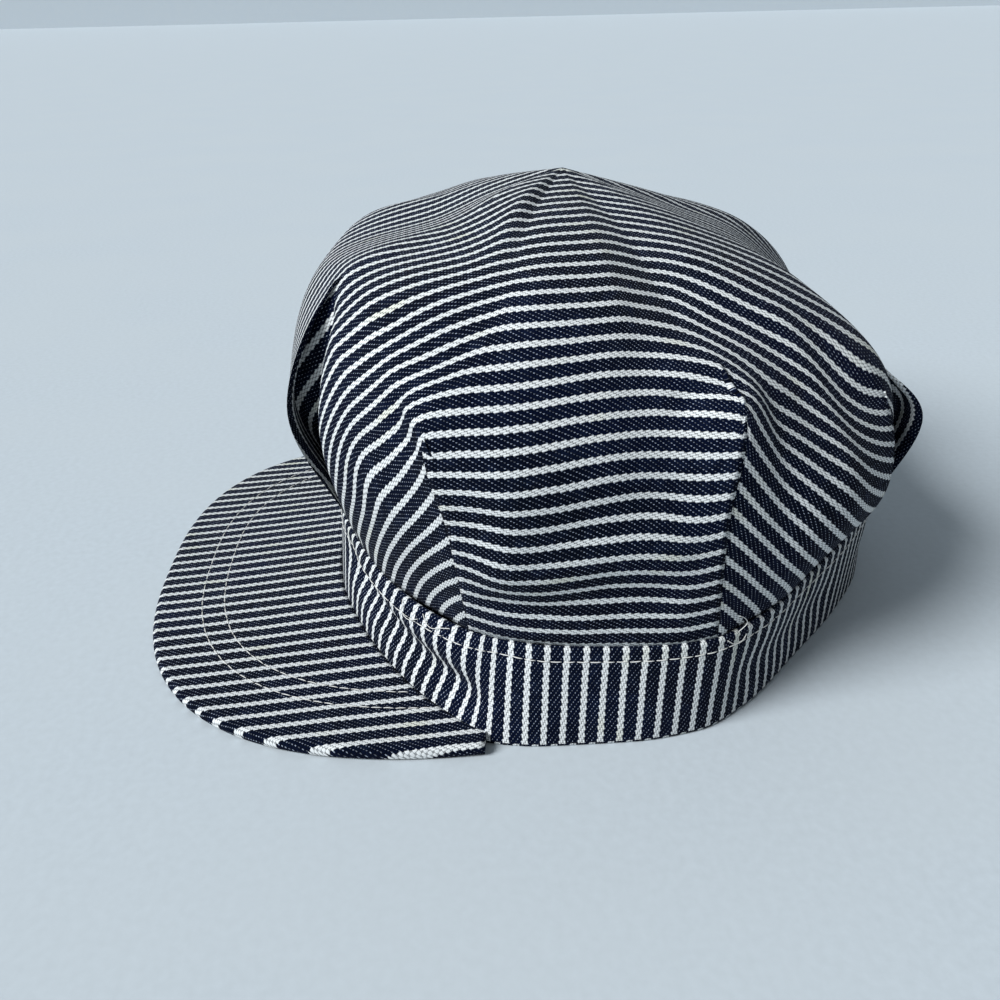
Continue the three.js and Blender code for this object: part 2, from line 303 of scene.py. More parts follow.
def crown_ribs():
    """All ribs round the cap, from the front centre by the left side, and whether a pleat follows each."""
    near = [{**rib, "side": 1, "pleat": False} for rib in rows_of(RIB_COLUMNS, RIBS)]
    for rib, follower in zip(near, near[1:]):
        rib["pleat"] = follower["panel"] != rib["panel"]
    far = []
    for rib, before in zip(reversed(near[1:-1]), reversed(near[:-2])):
        far.append({**rib, "side": -1, "cells": before["cells"], "pleat": before["pleat"]})
    near[-1]["cells"] = near[-2]["cells"]
    return near + far


def rib_line(rib):
    """A rib's points from the band to the top, each with its place on the flat cut."""
    side = rib["side"]
    share = rib["foot"] if side > 0 else 2 - rib["foot"]
    legs = [band_at(share, BAND_HEIGHT - FOOT_DOWN, FOOT_IN)]
    for key in ("belly", "tip", "shoulder"):
        x, y, z = rib[key]
        legs.append(np.array([x * side, y + HEAD_MIDDLE_Y + (rib["far"] if side < 0 else 0), z]))
    top = np.array(CROWN_TOP, float) + (0, HEAD_MIDDLE_Y, 0)
    lift = rib["lift"] * (1 if side > 0 else FAR_LIFT)
    legs.append(legs[-1] + (top - legs[-1]) * CREST + (0, 0, lift))
    legs.append(top)
    line = centripetal(legs, RIB_CELLS)
    run = run_along(line)
    stops = [run[0], run[FOOT_ROWS], run[-1]]
    places = np.array([rib["cut_foot"], rib["cut_tip"], CUT_TOP], float) * (side, 1)
    return np.concatenate([line, at_run(stops, places, run)], axis=1)


def rib_lines(ribs):
    """The lines of all ribs. Above its tip a pleat is closed, so its two edges are one line there."""
    lines = np.stack([rib_line(rib) for rib in ribs])
    for i, rib in enumerate(ribs):
        if rib["pleat"]:
            both = [i, (i + 1) % len(ribs)]
            lines[both, FOOT_ROWS:] = lines[both, FOOT_ROWS:].mean(axis=0)
    return lines


def panel_runs(ribs):
    """Each panel as the numbers of its ribs."""
    runs = []
    for start in range(len(ribs)):
        if ribs[start - 1]["pleat"]:
            run = [start]
            while not ribs[run[-1]]["pleat"]:
                run.append((run[-1] + 1) % len(ribs))
            runs.append(run)
    return runs


def pleat_between(*names):
    """The row of the pleat between two panels, either way round."""
    return next(row for row in rows_of(PLEAT_COLUMNS, PLEATS) if {row["before"], row["after"]} == set(names))


def rib_slopes(ribs, lines, places, runs):
    """Which way the cloth leaves each rib: within its panel at the foot, and smooth across pleats above."""
    slopes = np.zeros_like(lines)
    for run in runs:
        where = np.array([places[i] + (2 if i < run[0] else 0) for i in run])
        slopes[run] = limited_slopes(where, lines[run])
    merged = [i for i in range(len(ribs)) if not ribs[i - 1]["pleat"]]
    for i, slope in zip(merged, limited_slopes(places[merged], lines[merged], 2)):
        edges = [i]
        blend = rows_step(*CLOSING_ROWS)
        if ribs[i]["pleat"]:
            edges.append((i + 1) % len(ribs))
            soft = pleat_between(*(ribs[edge]["panel"] for edge in edges))["soft"]
            blend = blend * (soft + (1 - soft) * rows_step(*RIDGE_FADES))
        slopes[edges] = slopes[edges] * (1 - blend) + slope * blend
    return slopes


def crown_panels():
    """The panels of the whole crown in order, each (name, side, grid), and smooth above the pleats."""
    ribs = crown_ribs()
    lines = rib_lines(ribs)
    places = np.array([rib["foot"] if rib["side"] > 0 else 2 - rib["foot"] for rib in ribs])
    runs = panel_runs(ribs)
    slopes = rib_slopes(ribs, lines, places, runs)
    panels = []
    for run in runs:
        parts = []
        for a, b in zip(run[:-1], run[1:]):
            span = (places[b] - places[a]) % 2
            cells = ribs[a]["cells"]
            for k in range(cells):
                parts.append(hermite(lines[a], lines[b], slopes[a], slopes[b], span, k / cells))
        parts.append(lines[run[-1]])
        panels.append((ribs[run[0]]["panel"], ribs[run[0]]["side"], np.stack(parts, axis=1)))
    return settle_cut(panels)


SETTLE_STEPS = 500
SETTLE_PACE = 1.6
SETTLE_PULL = 0.004  # how strongly a thread is held to its place in the tables
EASE = 0.3  # how much each place is eased sideways in the first step
EASE_ENDS = 1.6  # the easing ends after one part in this many of the steps
SLUMP_PASSES = 70
SLUMP_ROWS = (FOOT_ROWS, 8)
CENTRE_BLEND = 12  # how far from the centre of the cut what is done to one side comes in


def neighbours(values, down, across):
    """The values of a grid's points some rows further up and some columns further round."""
    return np.roll(values[down:], -across, axis=1)


def sideways(cut):
    """The way from each place to the middle of the two beside it."""
    return (np.roll(cut, 1, axis=1) + np.roll(cut, -1, axis=1)) / 2 - cut


def share_edges(cut, ends):
    """Gives the two edges of each pleat the same places on the cut above its tip."""
    starts = (ends + 1) % cut.shape[1]
    shared = (cut[FOOT_ROWS:, ends] + cut[FOOT_ROWS:, starts]) / 2
    cut[FOOT_ROWS:, ends] = shared
    cut[FOOT_ROWS:, starts] = shared


def cloth_links(points, ends):
    """The short stretches of cloth between points: down and across to the other point, length and weight."""
    rows, columns = points.shape[:2]
    joined = np.ones((rows, columns, 1))
    joined[: FOOT_ROWS - 1, ends] = 0
    links = []
    for down, across in ((0, 1), (1, 0), (1, 1), (1, -1)):
        gap = neighbours(points, down, across) - points[: rows - down]
        length = np.linalg.norm(gap, axis=-1, keepdims=True)
        weight = np.ones((rows - down, columns, 1))
        if across:
            crossing = joined if across > 0 else np.roll(joined, 1, axis=1)
            weight = weight * crossing[: rows - down]
        links.append((down, across, length, weight / (0.3 + length)))
    return links


def settle_cut(panels):
    """Moves the cloth coordinates until each short stretch of thread has its real length on the flat cut."""
    grid = np.concatenate([panel for _, _, panel in panels], axis=1)
    ends = np.cumsum([panel.shape[1] for _, _, panel in panels]) - 1
    rows, columns = grid.shape[:2]
    cut = grid[..., 3:].copy()
    want = cut.copy()
    links = cloth_links(grid[..., :3], ends)
    for step in range(SETTLE_STEPS):
        # At first the cloth is also eased sideways, so that none of it turns over.
        ease = EASE * max(1 - EASE_ENDS * step / SETTLE_STEPS, 0)
        cut[FOOT_ROWS:] += ease * sideways(cut)[FOOT_ROWS:]
        moved = SETTLE_PULL * (want - cut)
        total = np.full((rows, columns, 1), SETTLE_PULL)
        push = np.zeros_like(cut)
        for down, across, length, weight in links:
            gap = neighbours(cut, down, across) - cut[: rows - down]
            size = np.maximum(np.linalg.norm(gap, axis=-1, keepdims=True), 1e-6)
            half = 0.5 * weight * (1 - length / size) * gap
            push[: rows - down] += half
            total[: rows - down] += weight
            push[down:] -= np.roll(half, across, axis=1)
            total[down:] += np.roll(weight, across, axis=1)
        cut += SETTLE_PACE * push / total + moved
        share_edges(cut, ends)
    # The slumped side's stripes are smoothed once more above the pleats.
    strength = rows_step(*SLUMP_ROWS)[..., None] * smooth(-want[..., :1] / CENTRE_BLEND)
    for _ in range(SLUMP_PASSES):
        cut += 0.5 * strength * sideways(cut)
        share_edges(cut, ends)
    out = []
    for (name, side, panel), part in zip(panels, np.split(cut, ends[:-1] + 1, axis=1)):
        out.append((name, side, np.concatenate([panel[..., :3], part], axis=-1)))
    return out


# Soft folds and hollows in the crown, each along a line on the flat cut. reach is half its width, and out is
# how far the cloth stands out there.
CROWN_WAVE_COLUMNS = ("wave", "line", "reach", "out")
CROWN_WAVES = [
    ("notch by the rear pleat", ((104, 8), (99, 15), (97, 22)), 3, -1.8),
    ("temple crease", ((93, -57), (98, -62), (104, -58)), 3, -1.2),
    ("rear quarter swell", ((62, 46), (80, 54), (92, 62)), 6, 1.4),
    ("rear quarter hollow", ((92, 36), (104, 46), (116, 56)), 5, -1.3),
    ("side upper hollow", ((128, -38), (131, -20), (127, 8)), 6, -0.8),
    ("side swell", ((142, -34), (144, -24), (139, -10), (141, 6)), 5, 0.9),
    ("side lower hollow", ((154, -32), (156, -22), (151, -8), (153, 5)), 4.5, -1),
]
WAVE_FOOT_ROWS = 5  # over how many rows above the band the waves come in


def crown_wave(cut, side):
    """How far the crown's cloth stands out from its ribs, at places on the flat cut."""
    place = cut * (side, 1)
    total = np.zeros(place.shape[:-1])
    for wave in rows_of(CROWN_WAVE_COLUMNS, CROWN_WAVES):
        line = np.array(wave["line"], float)
        away = np.full(total.shape, np.inf)
        for a, b in zip(line[:-1], line[1:]):
            leg = b - a
            t = np.clip(((place - a) @ leg) / (leg @ leg), 0, 1)
            away = np.minimum(away, np.linalg.norm(place - a - t[..., None] * leg, axis=-1))
        total = total + wave["out"] * np.exp(-((away / wave["reach"]) ** 2))
    return total


# The stripes on the wearer's left wander a little from the flat cut's. Each nudge moves the cloth across the
# stripes at a place on the cut, with how far it reaches across and along.
CUT_NUDGE_COLUMNS = ("nudge", "across", "along", "reach_across", "reach_along", "move")
CUT_NUDGES = [
    ("top front", 50, -58, 20, 26, 5),
    ("top rear", 48, 25, 19, 21, 7.5),
    ("rear facet", 72, 70, 15, 17, -9),
    ("rear edge", 90, 34, 9, 12, -4),
    ("side front", 140, -42, 22, 12, 1.7),
    ("side rear", 138, 12, 22, 10, -2.5),
    ("above the temple", 73, -60, 17, 9, -4),
    ("behind the temple", 70, -38, 14, 9, 2.8),
    ("temple", 89, -51, 9, 7, -2.5),
    ("front lip", 91, -79, 14, 10, 4.5),
    ("above the ridge", 70, 14, 14, 9, 3.2),
]


def nudged(cut):
    """The cloth coordinates of the wearer's left half after the nudges."""
    across, along = cut[..., 0], cut[..., 1]
    move = np.zeros(across.shape)
    for nudge in rows_of(CUT_NUDGE_COLUMNS, CUT_NUDGES):
        away = ((across - nudge["across"]) / nudge["reach_across"]) ** 2
        away = away + ((along - nudge["along"]) / nudge["reach_along"]) ** 2
        move = move + nudge["move"] * np.exp(-away) * smooth(across / CENTRE_BLEND)
    return np.stack([across + move, along], axis=-1)


def grid_normals(grid):
    """Unit normals of a rows by columns grid of points, to the outside of the cap."""
    across = np.gradient(grid[..., :3], axis=1)
    up = np.gradient(grid[..., :3], axis=0)
    normal = np.cross(across, up)
    return normal / np.maximum(np.linalg.norm(normal, axis=-1, keepdims=True), 1e-9)


def under_point(row, normals, reach, sunk):
    """The point some way in from the start of a panel's row, and sunk under it."""
    run = run_along(row[:, :3])
    want = min(reach, run[-1] * 0.8)
    return at_run(run, row[:, :3], want) - at_run(run, normals, want) * sunk


def under_layers(upper, lower, depth, upper_first):
    """The cloth folded under a pleat's upper panel, as columns from one panel's edge to the other's."""
    order = slice(None, None, -1 if upper_first else 1)
    normals = grid_normals(upper)[:, order]
    upper = upper[:, order]
    own = upper[:, 0]
    mate = lower[:, 0 if upper_first else -1]
    height = np.clip(1 - np.arange(CROWN_ROWS) / FOOT_ROWS, 0, 1)
    shares = np.arange(1, PLEAT_CELLS + 1) / PLEAT_CELLS
    going_in = []
    for share in shares:
        sunk = PLEAT_GAP * np.minimum(height * 4, 1) * smooth(share * 4)
        reach = depth * height * share
        points = [under_point(upper[r], normals[r], reach[r], sunk[r]) for r in range(CROWN_ROWS)]
        cloth = own[:, 3:] * (1 - share / 2) + mate[:, 3:] * (share / 2)
        going_in.append(np.concatenate([np.array(points), cloth], axis=1))
    coming_back = []
    for share in shares[-2::-1]:
        points = mate[:, :3] * (1 - share) + going_in[-1][:, :3] * share
        cloth = own[:, 3:] * (share / 2) + mate[:, 3:] * (1 - share / 2)
        coming_back.append(np.concatenate([points, cloth], axis=1))
    layers = np.stack(going_in + coming_back, axis=1)
    return layers if upper_first else layers[:, ::-1]


def crown_grid():
    """The whole crown as one closed grid of rows by columns, with the cloth under each pleat."""
    panels = crown_panels()
    for _, side, grid in panels:
        rise = np.minimum(np.arange(CROWN_ROWS) / WAVE_FOOT_ROWS, 1)[:, None]
        grid[..., :3] += grid_normals(grid) * (crown_wave(grid[..., 3:], side) * rise)[..., None]
        near = grid[..., 3] > 0
        grid[near, 3:] = nudged(grid[near, 3:])
    parts = []
    for i, (name, _, grid) in enumerate(panels):
        after_name, _, after = panels[(i + 1) % len(panels)]
        pleat = pleat_between(name, after_name)
        if pleat[pleat["upper"]] == name:
            layers = under_layers(grid, after, pleat["depth"], True)
        else:
            layers = under_layers(after, grid, pleat["depth"], False)
        parts.extend([grid, layers])
    return np.concatenate(parts, axis=1)


def make_crown():
    grid = crown_grid()
    flat = grid.reshape(-1, 5)
    obj = mesh_object("crown_cloth", flat[:, :3], wrapped_faces(*grid.shape[:2]), flat[:, 3:])
    closed(obj, merge=0.00004)
    bpy.ops.object.modifier_add(type="SOLIDIFY")
    obj.modifiers[-1].thickness = CLOTH * MM
    obj.modifiers[-1].offset = -1
    bpy.ops.object.modifier_apply(modifier=obj.modifiers[-1].name)
    bpy.ops.object.shade_smooth()
    return obj


# Soft hollows and swells along the band's face. start and end are places round half the band, the heights
# are where the wave lies there, reach is half its height, and out is how far the cloth stands out.
BAND_WAVE_COLUMNS = ("wave", "start", "end", "height_start", "height_end", "reach", "out")
BAND_WAVES = [
    ("temple hollow", 0.1, 0.39, 19, 9, 5, -3.6),
    ("temple swell", 0.12, 0.38, 27, 21, 5, 1.2),
    ("rear hollow", 0.58, 0.8, 13, 12, 6, -1.1),
    ("back hollow", 0.84, 1.2, 12, 14, 6, -0.8),
]
WAVE_ENDS = 0.2  # the share of a wave's length in which it comes in or goes out
WAVE_EDGE = 4  # how far from the band's edges the waves are at their full depth
BAND_CELLS = 720
BAND_ROWS = 28
TURN_CELLS = 8
TURN_STEP = 0.4  # the cloth along the last cell of the band's foot


def band_wave(share, height):
    """How far the band's cloth stands out from its plan."""
    share = np.where(share > 1, 2 - share, share)
    total = np.zeros(np.broadcast(share, height).shape)
    for wave in rows_of(BAND_WAVE_COLUMNS, BAND_WAVES):
        t = (share - wave["start"]) / (wave["end"] - wave["start"])
        middle = wave["height_start"] + (wave["height_end"] - wave["height_start"]) * np.clip(t, 0, 1)
        window = smooth(t / WAVE_ENDS) * smooth((1 - t) / WAVE_ENDS)
        total = total + wave["out"] * window * np.exp(-(((height - middle) / wave["reach"]) ** 2))
    return total * smooth(height / WAVE_EDGE) * smooth((BAND_HEIGHT - height) / WAVE_EDGE)


def band_face(share, height, inset=0.0):
    return band_at(share, height, inset - band_wave(share, height))


def band_section():
    """The band's section as (height, inset, place along the cloth), from the outer foot up and back."""
    turn = BAND_WALL / 2
    face = BAND_HEIGHT - 2 * turn
    rows = []
    for k in range(BAND_ROWS + 1):
        height = turn + face * k / BAND_ROWS
        rows.append((height, 0, height))
    for centre, start in ((BAND_HEIGHT - turn, 0), (turn, math.pi)):
        for k in range(1, TURN_CELLS):
            angle = start + math.pi * k / TURN_CELLS
            height = centre + turn * math.sin(angle)
            inset = turn * (1 - math.cos(angle))
            rows.append((height, inset, rows[-1][2] + math.pi * turn / TURN_CELLS))
        if not start:
            for k in range(TURN_CELLS + 1):
                height = centre - face * k / TURN_CELLS
                rows.append((height, BAND_WALL, rows[-1][2] + face / TURN_CELLS))
    return np.array(rows)


def make_band():
    section = band_section()
    share = np.linspace(0, 2, BAND_CELLS, endpoint=False)
    points = band_face(share[None, :], section[:, 0, None], section[:, 1, None])
    across = share / 2 * BAND_LENGTH
    step = BAND_LENGTH / BAND_CELLS
    along = np.append(section[:, 2], section[-1, 2] + TURN_STEP)
    corners = []
    for low, high in zip(along[:-1], along[1:]):
        for start in across:
            corners.extend([(start, low), (start + step, low), (start + step, high), (start, high)])
    faces = wrapped_faces(len(section), BAND_CELLS, ring=True)
    return closed(mesh_object("band_cloth", points.reshape(-1, 3), faces, corners=corners))


# The peak's free edge is a rounded square about the middle of its corner line.
PEAK_CORNER_Y = -45
PEAK_HALF_WIDTH = {1: 102, -1: 98}
PEAK_REACH = 98
PEAK_POWER = 2.65
PEAK_SWEEP = 0.9995 * math.pi
PEAK_THICKNESS = 3.4
PEAK_CLEAR = 0.15  # air between the peak and the floor
PEAK_SETTLE = 1.5  # how quickly the raised seam comes down to the flat free edge
PEAK_DOWN = 56  # how far from the seam the underside is down on the floor
PEAK_SEAM_HEIGHT = 3.5
PEAK_SEAM_GAP = 0.12  # air between the peak and the band's face
PEAK_CELLS = 260
PEAK_ROWS = 70
CELLS_TO_CORNERS = 0.35  # how much the columns crowd towards the two corners, from 0 to 1
ROWS_TO_EDGE = 1.7  # how much the rows crowd towards the free edge, from 1 up
TURNED_UNDER = 14  # how far in from the edge the underside's cloth follows the turned edge


def peak_turns(count):
    return np.linspace(-PEAK_SWEEP / 2, PEAK_SWEEP / 2, count)


def peak_free(turn, half_width, reach):
    """A point of the peak's free edge, or of a row of stitches that follows it, at a turn from the front."""
    power = 2 / PEAK_POWER
    s = np.sin(turn)
    x = np.sign(s) * np.abs(s) ** power * np.where(s > 0, half_width[1], half_width[-1])
    return np.stack([x, PEAK_CORNER_Y - np.cos(turn) ** power * reach], axis=-1)


def peak_seam(turn):
    """The seam's places round the band, for turns from the front, and how high the band's foot is there."""
    half = RING_CELLS // 2
    front = np.concatenate([RING[half:], RING[:half]])
    places = np.arange(-half, half) * 2 / RING_CELLS
    keep = front[:, 1] < PEAK_CORNER_Y
    front, places = front[keep], places[keep]
    s = np.sin(turn)
    x = np.where(s > 0, front[:, 0].max(), -front[:, 0].min()) * s
    share = np.interp(x, front[:, 0], places)
    return share, np.interp(share, places, front[:, 3])


def peak_lift(x, y):
    """How high the peak's underside is at points of its plan."""
    share, rise = peak_seam(peak_turns(181))
    seam = band_at(share, 2)
    away = np.hypot(seam[:, 0] - np.asarray(x)[..., None], seam[:, 1] - np.asarray(y)[..., None])
    near = away.argmin(axis=-1)
    reach = np.clip(away.min(axis=-1) / PEAK_DOWN, 0, 1)
    return rise[near] * (1 - reach) ** PEAK_SETTLE + PEAK_CLEAR


def peak_grid():
    """The peak's plan as rows from the seam to the free edge by columns across, how high its underside is,
    how far the free edge is, and the cloth coordinates of its top and of its underside."""
    even = np.linspace(0, 1, PEAK_CELLS + 1)
    crowded = 0.5 - 0.5 * np.cos(np.linspace(0, math.pi, PEAK_CELLS + 1))
    place = CELLS_TO_CORNERS * crowded + (1 - CELLS_TO_CORNERS) * even
    turn = (place - 0.5) * PEAK_SWEEP
    share, rise = peak_seam(turn)
    seam = band_face(share, PEAK_SEAM_HEIGHT, -PEAK_SEAM_GAP)[:, :2]
    free = peak_free(turn, PEAK_HALF_WIDTH, PEAK_REACH) + (0, HEAD_MIDDLE_Y)
    t = np.linspace(0, 1, PEAK_ROWS + 1)
    t = (1 - (1 - t) ** ROWS_TO_EDGE)[:, None, None]
    plan = seam + (free - seam) * t
    lift = rise * (1 - t[..., 0]) ** PEAK_SETTLE + PEAK_CLEAR
    gaps = np.array([free - point for point in plan.reshape(-1, 2)])
    far = np.linalg.norm(gaps, axis=-1)
    near = far.argmin(axis=1)
    pick = np.arange(len(near))
    away = far[pick, near].reshape(lift.shape)
    away[-1] = 0
    outward = gaps[pick, near].reshape(plan.shape)
    outward = outward / np.maximum(np.linalg.norm(outward, axis=-1, keepdims=True), 1e-6)
    outward[-1] = outward[-2]
    radius = PEAK_THICKNESS / 2
    turned = np.arcsin(1 - np.minimum(away, radius) / radius)[..., None]
    flat = plan - (0, HEAD_MIDDLE_Y)
    above = flat + outward * radius * (turned - np.sin(turned))
    fade = 1 - smooth((away - radius) / TURNED_UNDER)[..., None]
    below = flat + outward * radius * (math.pi - turned - np.sin(turned)) * fade
    return plan, lift, away, above, below


def make_peak():
    plan, lift, away, above, below = peak_grid()
    rows, columns = lift.shape
    radius = PEAK_THICKNESS / 2
    round_off = np.sqrt(1 - (1 - np.minimum(away, radius) / radius) ** 2)
    points = []
    for side in (1, -1):
        z = lift + radius + side * radius * round_off
        points.append(np.concatenate([plan, z[..., None]], axis=-1).reshape(-1, 3))
    under = rows * columns
    faces = []
    for r in range(rows - 1):
        for c in range(columns - 1):
            a, b = r * columns + c, (r + 1) * columns + c
            faces.append((a, b, b + 1, a + 1))
            faces.append((a + 1 + under, b + 1 + under, b + under, a + under))
    for c in range(columns - 1):
        faces.append((c, c + 1, c + 1 + under, c + under))
    for r in range(rows - 1):
        a, b = r * columns, (r + 1) * columns
        faces.append((a, a + under, b + under, b))
        a, b = a + columns - 1, b + columns - 1
        faces.append((a, b, b + under, a + under))
    uv = np.concatenate([above.reshape(-1, 2), below.reshape(-1, 2)])
    return closed(mesh_object("peak_cloth", np.concatenate(points), faces, uv))


# Rows of stitches. Two on the peak follow its free edge, and one on the band runs under its top seam.
STITCH = 2.7
STITCH_GAP = 0.5
STITCH_STEPS = 5
THREAD = 0.17
THREAD_SIDES = 6
STITCH_FLATNESS = 0.8
STITCH_BOW = 0.12
BEDDED = 0.02  # how far a stitch's ends are under the cloth's face
PEAK_STITCH_COLUMNS = ("row", "half_width", "reach")
PEAK_STITCHES = [
    ("outer row", 86.4, 84),
    ("inner row", 80, 77.4),
]
SEAM_MARGIN = 1.2  # where a row on the peak stops before the band
BAND_STITCH_DOWN = 3.6
BAND_STITCH_WANDER = 0.25


def thread_ring(middle, across, up, thick, flatness=1.0):
    """The points round a thread at one place."""
    points = []
    for j in range(THREAD_SIDES):
        angle = 2 * math.pi * j / THREAD_SIDES
        points.append(middle + thick * (across * math.cos(angle) + up * math.sin(angle) * flatness))
    return points


def add_thread(points, faces, rings):
    """Adds one closed tube, from its rings, to the points and faces of a mesh."""
    base = len(points)
    for ring in rings:
        points.extend(ring)
    for k in range(len(rings) - 1):
        for j in range(THREAD_SIDES):
            a = base + k * THREAD_SIDES + j
            b = base + k * THREAD_SIDES + (j + 1) % THREAD_SIDES
            faces.append((a, b, b + THREAD_SIDES, a + THREAD_SIDES))
    last = base + (len(rings) - 1) * THREAD_SIDES
    faces.append(tuple(base + j for j in reversed(range(THREAD_SIDES))))
    faces.append(tuple(last + j for j in range(THREAD_SIDES)))


def stitches(name, line, outward):
    """A row of short threads along a line of points in millimetres, each one bedded at its two ends."""
    line = np.asarray(line, float)
    run = run_along(line)
    points = []
    faces = []
    for i in range(int(run[-1] // (STITCH + STITCH_GAP))):
        start = i * (STITCH + STITCH_GAP)
        wander = 0.12 * math.sin(i * 2.4) + 0.08 * math.sin(i * 5.1)
        rings = []
        for k in range(STITCH_STEPS + 1):
            t = k / STITCH_STEPS
            want = start + STITCH * t
            along = at_run(run, line, want + 0.5) - at_run(run, line, want - 0.5)
            along = along / np.linalg.norm(along)
            up = at_run(run, outward, want)
            up = up - along * up.dot(along)
            up = up / np.linalg.norm(up)
            across = np.cross(along, up)
            thick = THREAD * (0.25 + 0.75 * math.sin(math.pi * min(max(t, 0.06), 0.94)) ** 0.5)
            middle = at_run(run, line, want)
            bow = STITCH_BOW * math.sin(math.pi * t) - BEDDED
            middle = middle + up * bow + across * wander * (t - 0.5)
            rings.append(thread_ring(middle, across, up, thick, STITCH_FLATNESS))
        add_thread(points, faces, rings)
    return closed(mesh_object(name, points, faces))


def peak_stitch_lines():
    """The two rows on the peak as (name, points, outward), each from seam to seam."""
    turn = peak_turns(400)
    share, _ = peak_seam(turn)
    seam = band_at(share, 4)
    order = np.argsort(seam[:, 0])
    narrower = PEAK_HALF_WIDTH[1] - PEAK_HALF_WIDTH[-1]
    rows = []
    for row in rows_of(PEAK_STITCH_COLUMNS, PEAK_STITCHES):
        plan = peak_free(turn, {1: row["half_width"], -1: row["half_width"] - narrower}, row["reach"])
        front = np.interp(plan[:, 0], seam[order, 0], seam[order, 1] - HEAD_MIDDLE_Y)
        plan = plan[plan[:, 1] < front - SEAM_MARGIN]
        x, y = plan[:, 0], plan[:, 1] + HEAD_MIDDLE_Y
        z = peak_lift(x, y) + PEAK_THICKNESS + 0.03
        outward = np.tile([0.0, 0.0, 1.0], (len(x), 1))
        rows.append((row["row"].replace(" ", "_"), np.stack([x, y, z], axis=1), outward))
    return rows


def band_stitch_line():
    """The row on the band as (points, outward)."""
    share = np.linspace(0, 2, RING_CELLS + 1)
    height = BAND_HEIGHT - BAND_STITCH_DOWN + BAND_STITCH_WANDER * np.sin(share * 23)
    line = band_face(share, height, -0.03)
    outward = line - band_face(share, height, 0.5)
    return line, outward / np.linalg.norm(outward, axis=1, keepdims=True)


# Loose ends of sewing thread at the seam between the crown and the band. Each row is a point that the thread
# passes: a place round half the band, a height, and how far it stands out.
LOOSE_COLUMNS = ("share", "height", "out")
LOOSE_ENDS = {
    "loose_end_temple": [
        (0.292, 27.4, 0.3),
        (0.3, 26, 0.7),
        (0.308, 25.8, 0.9),
        (0.317, 26.6, 0.5),
        (0.325, 27.3, 0.3),
    ],
    "loose_end_peak": [(0.262, 27.6, 0.3), (0.268, 25.2, 0.8), (0.279, 24.6, 0.9), (0.288, 25.6, 0.4)],
    "loose_end_rear": [(0.588, 28.6, 0.5), (0.593, 31, 1.4), (0.589, 33, 1.6), (0.583, 34.4, 1.4)],
    "loose_end_fold": [(0.578, 27, 0.3), (0.584, 25.6, 0.8), (0.593, 25.2, 0.7), (0.6, 26.4, 0.3)],
}
LOOSE_THREAD = 0.11
LOOSE_STEPS = 6


def loose_end(name, table):
    """One short thread lying over the seam."""
    places = rows_of(LOOSE_COLUMNS, table)
    knots = np.stack([band_face(place["share"], place["height"], -place["out"]) for place in places])
    line = centripetal(knots, [LOOSE_STEPS] * (len(knots) - 1))
    rings = []
    for i, middle in enumerate(line):
        along = line[min(i + 1, len(line) - 1)] - line[max(i - 1, 0)]
        along = along / np.linalg.norm(along)
        across = np.cross(along, (0, 0, 1))
        across = across / np.linalg.norm(across)
        rings.append(thread_ring(middle, across, np.cross(across, along), LOOSE_THREAD))
    points = []
    faces = []
    add_thread(points, faces, rings)
    return closed(mesh_object(name, points, faces))


class Finish:
    """The nodes of one material, with short ways to add to them."""

    def __init__(self, name):
        self.material = bpy.data.materials.new(name)
        self.material.use_nodes = True
        self.nodes = self.material.node_tree.nodes
        self.links = self.material.node_tree.links
        self.shader = self.nodes["Principled BSDF"]

    def feed(self, socket, item):
        """A number or a colour goes on the socket itself, and the rest are links."""
        if isinstance(item, (int, float, tuple)):
            socket.default_value = item
        else:
            self.links.new(item, socket)

    def add(self, kind, output, inputs=(), **settings):
        """Adds a node with its settings and its inputs, and gives one of its outputs."""
        node = self.nodes.new("ShaderNode" + kind)
        for name, setting in settings.items():
            setattr(node, name, setting)
        for name, item in inputs:
            self.feed(node.inputs[name], item)
        return node.outputs[output]

    def maths(self, operation, *inputs):
        return self.add("Math", 0, enumerate(inputs), operation=operation)

    def blend(self, factor, first, second, kind="MIX"):
        inputs = (("Factor", factor), ("A", first), ("B", second))
        return self.add("Mix", "Result", inputs, data_type="RGBA", blend_type=kind)

    def step(self, item, low, high, to_low=0.0, to_high=1.0):
        """A smooth step from one number to another."""
        names = ("Value", "From Min", "From Max", "To Min", "To Max")
        inputs = zip(names, (item, low, high, to_low, to_high))
        return self.add("MapRange", "Result", inputs, interpolation_type="SMOOTHSTEP")

    def noise(self, vector, scale, detail):
        return self.add("TexNoise", "Fac", (("Vector", vector), ("Scale", scale), ("Detail", detail)))

    def bump(self, height, strength, distance):
        inputs = (("Height", height), ("Strength", strength), ("Distance", distance))
        self.set(Normal=self.add("Bump", "Normal", inputs))

    def set(self, **inputs):
        """Sets inputs of the shader, with _ for the spaces in their names."""
        for name, item in inputs.items():
            self.feed(self.shader.inputs[name.replace("_", " ")], item)


# The weave. A stripe is WHITE_ENDS pale threads and DARK_ENDS dark ones, and each thread passes over two
# crossing threads and under one. Each pass over leans a little across the stripe.
WHITE_ENDS = 4
DARK_ENDS = 8
STRIPE_ENDS = float(WHITE_ENDS + DARK_ENDS)
WHITE_SHARE = 0.32
PICK = 0.667
LEAN = 0.6
INDIGO = (0.001, 0.0032, 0.0155, 1)
INK = (0.0012, 0.0028, 0.009, 1)
FADED = (0.006, 0.0125, 0.038, 1)
OFF_WHITE = (0.75, 0.78, 0.79, 1)
CREAM = (0.67, 0.68, 0.5, 1)
GREY_YARN = (0.44, 0.465, 0.49, 1)
SPECK = (0.44, 0.51, 0.64, 1)

